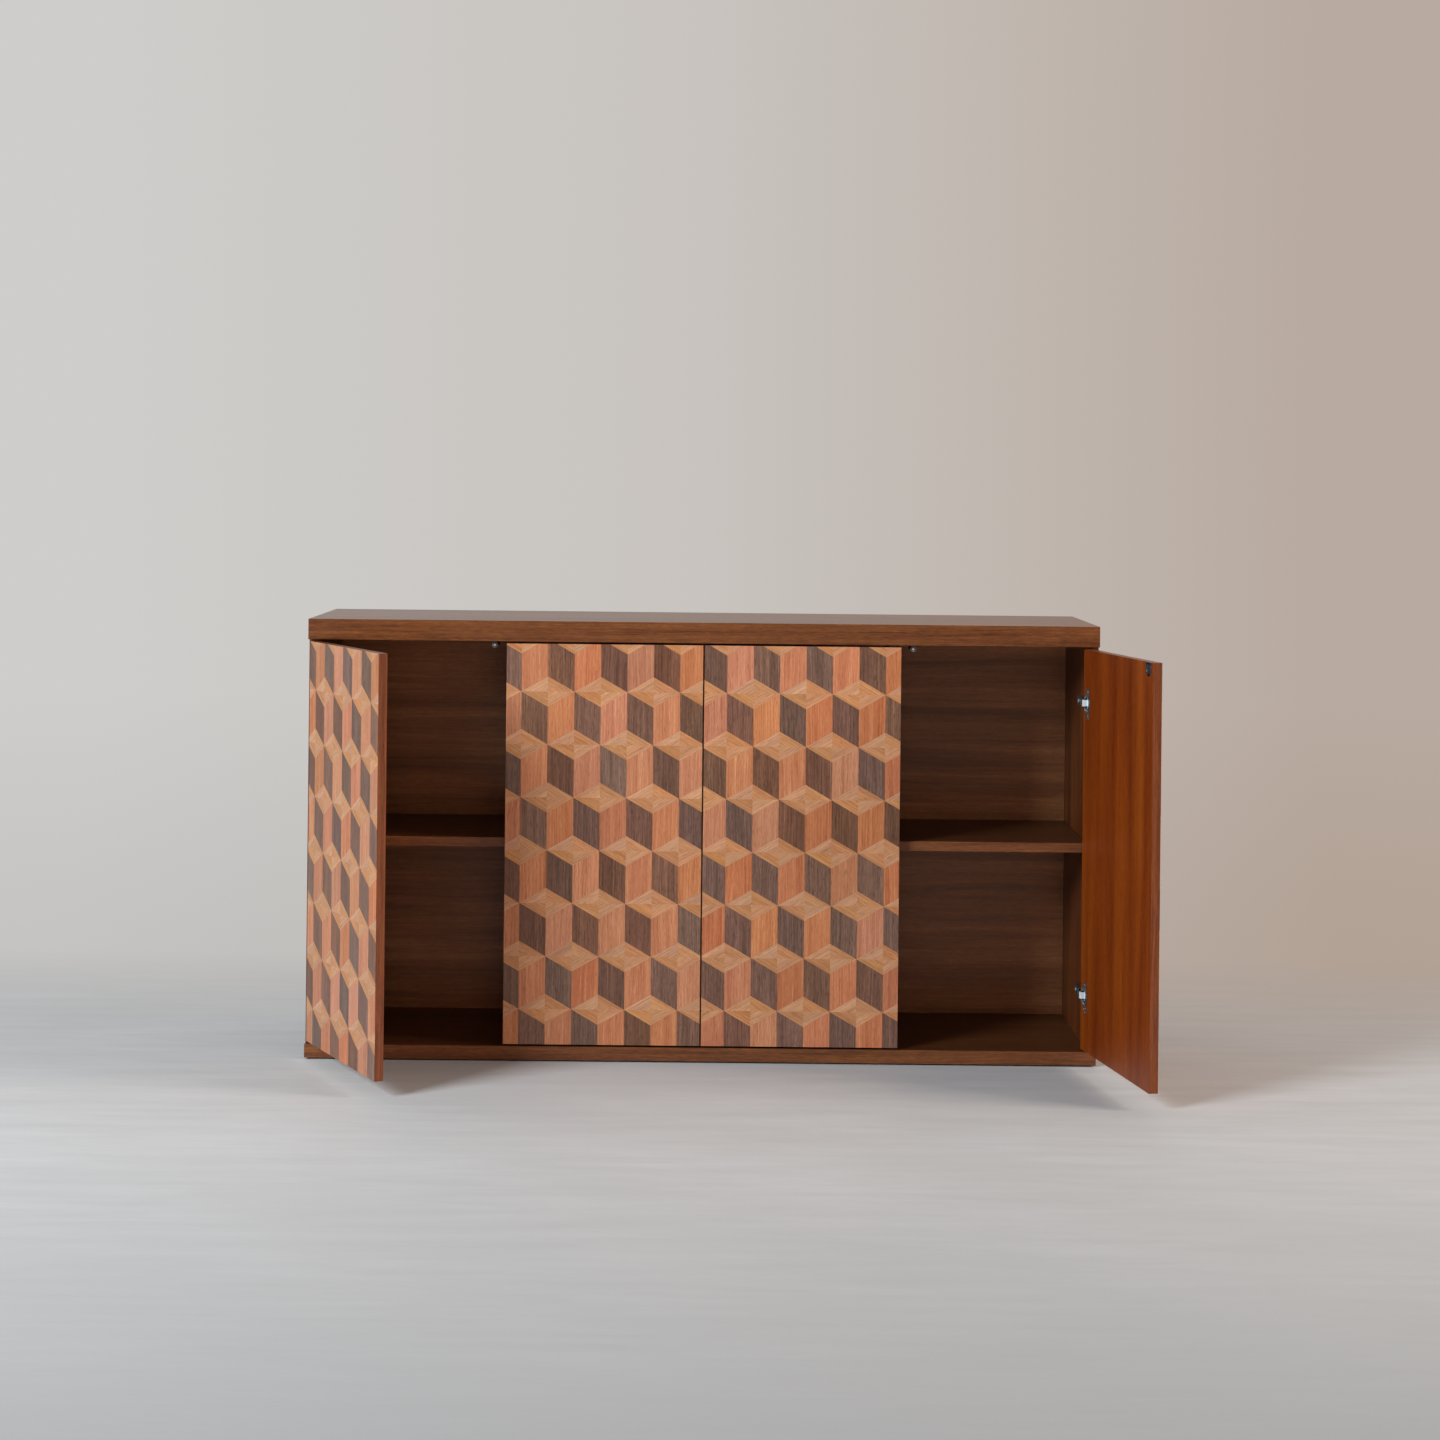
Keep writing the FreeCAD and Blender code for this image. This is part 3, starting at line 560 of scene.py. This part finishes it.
def make_strike(number):
    """The steel plate that the latch pushes on, with a rim and a soft dark pad in it."""
    edge, way, _, _ = doors[number]
    half = strike_width / 2
    middle = Vector((edge + way * (door_width - strike_inset), door_high - strike_height + half))
    face = door_back + strike_thickness
    plate_rings = [
        (door_back, 0),
        (face - strike_ease, 0),
        (face, strike_ease),
        (face, strike_rim),
        (face - strike_lip, strike_rim + strike_lip),
    ]
    pad_rings = [
        (door_back + pad_gap, pad_inset),
        (face - pad_ease, pad_inset),
        (face - pad_gap, pad_inset + pad_ease),
    ]
    for label, rings, finish in (("plate", plate_rings, "strike"), ("pad", pad_rings, "pad")):
        outlines = [(depth, tongue(middle, half, door_high, inset)) for depth, inset in rings]
        name = f"door_{number}_strike_{label}"
        piece = stacked(name, outlines, door_place(number), finishes[finish])
        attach(piece, f"door_{number}")
        if label == "plate":
            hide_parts(f"door_{number}_strike")


for number in doors:
    make_marquetry(number)
    make_lipping(number)
    make_strike(number)


# Finishes of the solids that stay as they are
def finish_of(name):
    """Which finish a node of the frame takes."""
    ends = {"_core": "core", "_inner_veneer": "skin", "_hinge_cups": "nickel"}
    for end, finish in ends.items():
        if name.endswith(end):
            return finish
    if name.startswith("hinge_plate_screws") or name in ("back_screws", "shelf_pins"):
        return "zinc"
    starts = {
        "hinge_links": "link",
        "hinge_": "arm",
        "latch_plunger": "plunger",
        "latch_": "chrome",
    }
    for start, finish in starts.items():
        if name.startswith(start):
            return finish
    if name.startswith("side_") or name == "partition":
        return "upright"
    if name == "bottom_board" or name.startswith("shelf_"):
        return "shelf"
    return {"back_panel": "back", "glides": "plastic", "carcass_dowels": "beech"}.get(name, "board")


for name, node in nodes.items():
    if node.hide_render:
        continue
    if not node.material_slots:
        node.data.materials.append(None)
    for place in node.material_slots:
        place.material = finishes[finish_of(name)]


# Floor and background. The background's colours run from left to right, above and at the floor. The
# floor has painted shade that makes it darker in front, and it fades into the background behind the object
# and all round.
background = [(0.28, tone(206, 205, 203)), (0.5, tone(200, 195, 190)), (0.72, tone(184, 170, 160))]
near_floor = [(0.28, tone(194, 193, 192)), (0.5, tone(190, 184, 179)), (0.72, tone(176, 158, 145))]
floor_half = 9
floor_tones = (tone(198, 196, 196), tone(206, 204, 205))
floor_cloud = (0.5, 0.3, 0.5)
floor_ripple = (0.35, 0.05, 0.5)
floor_hollows = tone(193, 191, 191)
painted_front_shade = tone(160, 159, 160)
front_from, front_to = -0.9, -2.4
behind_from, behind_to = 0.1, 1.0
round_from, round_to = 3.4, 5.5
eye_distance = 5.5
floor_far, floor_near = 0.068, 0.152
wall_low, wall_lowest = -0.08, -0.18
room_tone = tone(92, 88, 84)
room_fill = 0.08


def backdrop_color(tree, sideways, low):
    """The background's colour, cooler on the left and warmer on the right, darker towards the floor."""
    place = math_node(tree, "ADD", sideways, 0.5)
    return mixed(tree, low, ramp(tree, place, background), ramp(tree, place, near_floor))


def make_floor():
    """A wide pale floor that fades into the background behind and far around."""
    mesh = bpy.data.meshes.new("floor")
    corners = [(x * floor_half, y * floor_half, 0) for x, y in ((-1, -1), (1, -1), (1, 1), (-1, 1))]
    mesh.from_pydata(corners, [], [(0, 1, 2, 3)])
    floor = bpy.data.objects.new("floor", mesh)
    bpy.context.scene.collection.objects.link(floor)
    material, tree, shader = surface("pale_floor", Roughness=0.62)
    place = put(tree, "TexCoord").outputs["Object"]
    cloud = noise(tree, place, floor_cloud, 4.0)["Fac"]
    ripple = noise(tree, place, floor_ripple, 6.0, 0.68)["Fac"]
    color = mixed(tree, mask(tree, cloud, 0.3, 0.7), *floor_tones)
    color = mixed(tree, mask(tree, ripple, 0.62, 0.3), color, floor_hollows)
    axes = put(tree, "SeparateXYZ", {0: place}).outputs
    # Painted shade: the floor darkens towards the front
    color = mixed(tree, mask(tree, axes[1], front_from, front_to), color, painted_front_shade)
    tree.links.new(color, shader.inputs["Base Color"])
    bump = put(tree, "Bump", {"Height": ripple, "Strength": 0.22, "Distance": 0.006})
    tree.links.new(bump.outputs[0], shader.inputs["Normal"])
    behind = mask(tree, axes[1], behind_from, behind_to)
    far = put(tree, "VectorMath", {0: place}, operation="LENGTH").outputs["Value"]
    fade = math_node(tree, "MAXIMUM", behind, mask(tree, far, round_from, round_to))
    seen = put(tree, "LightPath").outputs["Is Camera Ray"]
    fade = math_node(tree, "MULTIPLY", fade, seen)
    nearness = math_node(tree, "DIVIDE", 1, math_node(tree, "ADD", far, eye_distance))
    sideways = math_node(tree, "MULTIPLY", axes[0], nearness)
    far_color = backdrop_color(tree, sideways, mask(tree, nearness, floor_far, floor_near))
    glow = put(tree, "Emission", {"Color": far_color, "Strength": 1.0}).outputs[0]
    blend = put(tree, "MixShader", {0: fade, 1: shader.outputs[0], 2: glow}).outputs[0]
    tree.links.new(blend, tree.nodes["Material Output"].inputs["Surface"])
    mesh.materials.append(material)


def make_world():
    """The background for what is seen and mirrored, and a bright wall behind in a dim room."""
    world = bpy.data.worlds.new("studio")
    bpy.context.scene.world = world
    world.use_nodes = True
    tree = world.node_tree
    tree.nodes.clear()
    direction = put(tree, "TexCoord").outputs["Generated"]
    axes = put(tree, "SeparateXYZ", {0: direction}).outputs
    wall = backdrop_color(tree, axes[0], mask(tree, axes[2], wall_low, wall_lowest))
    behind = mask(tree, axes[1], -0.1, 0.3)
    room = mixed(tree, behind, room_tone, wall)
    rays = put(tree, "LightPath").outputs
    filled = mixed(tree, room_fill, room, tone(255, 255, 255))
    lit = mixed(tree, rays["Is Diffuse Ray"], room, filled)
    color = mixed(tree, rays["Is Camera Ray"], lit, wall)
    shade = put(tree, "Background", {"Color": color, "Strength": 1.0}).outputs[0]
    put(tree, "OutputWorld", {"Surface": shade})


make_floor()
make_world()


# Lamps
def area_lamp(name, place, target, size, watts, color):
    """A square soft lamp that faces a point."""
    data = bpy.data.lights.new(name, "AREA")
    data.shape = "SQUARE"
    data.size = size
    data.energy = watts
    data.color = color
    lamp = bpy.data.objects.new(name, data)
    lamp.location = place
    aim = Vector(target) - Vector(place)
    lamp.rotation_euler = aim.to_track_quat("-Z", "Y").to_euler()
    lamp.visible_camera = False
    bpy.context.scene.collection.objects.link(lamp)
    return lamp


# Each lamp: place, the point that it faces, size, watts and colour
lamps = {
    "window": ((-4.65, -4.75, 3.5), (-0.1, -0.2, 0.6), 2.2, 505, (0.8, 0.925, 1.0)),
    "warm": ((6.9, -2.4, 3.5), (0.2, -0.2, 0.6), 2.6, 350, (1.0, 0.89, 0.79)),
    "front": ((0.4, -6.5, 0.5), (0, -0.2, 0.45), 1.6, 52, (1.0, 0.76, 0.54)),
}
for name, (place, target, size, watts, color) in lamps.items():
    lamp = area_lamp(name, place, target, size, watts, color)
    lamp.visible_glossy = name != "front"

# Camera, level and square to the front, as in the photo
camera_place = (0.0002, -5.523, 1.1831)
camera_roll = math.radians(-0.598)
lens = bpy.data.cameras.new("camera")
lens.sensor_width = 36
lens.lens = 65.88
lens.shift_x = 0.00972
lens.shift_y = -0.1683
camera = bpy.data.objects.new("camera", lens)
camera.location = camera_place
camera.rotation_euler = (math.radians(90), camera_roll, 0)
bpy.context.scene.collection.objects.link(camera)
bpy.context.scene.camera = camera

bpy.context.scene.view_settings.view_transform = "Standard"
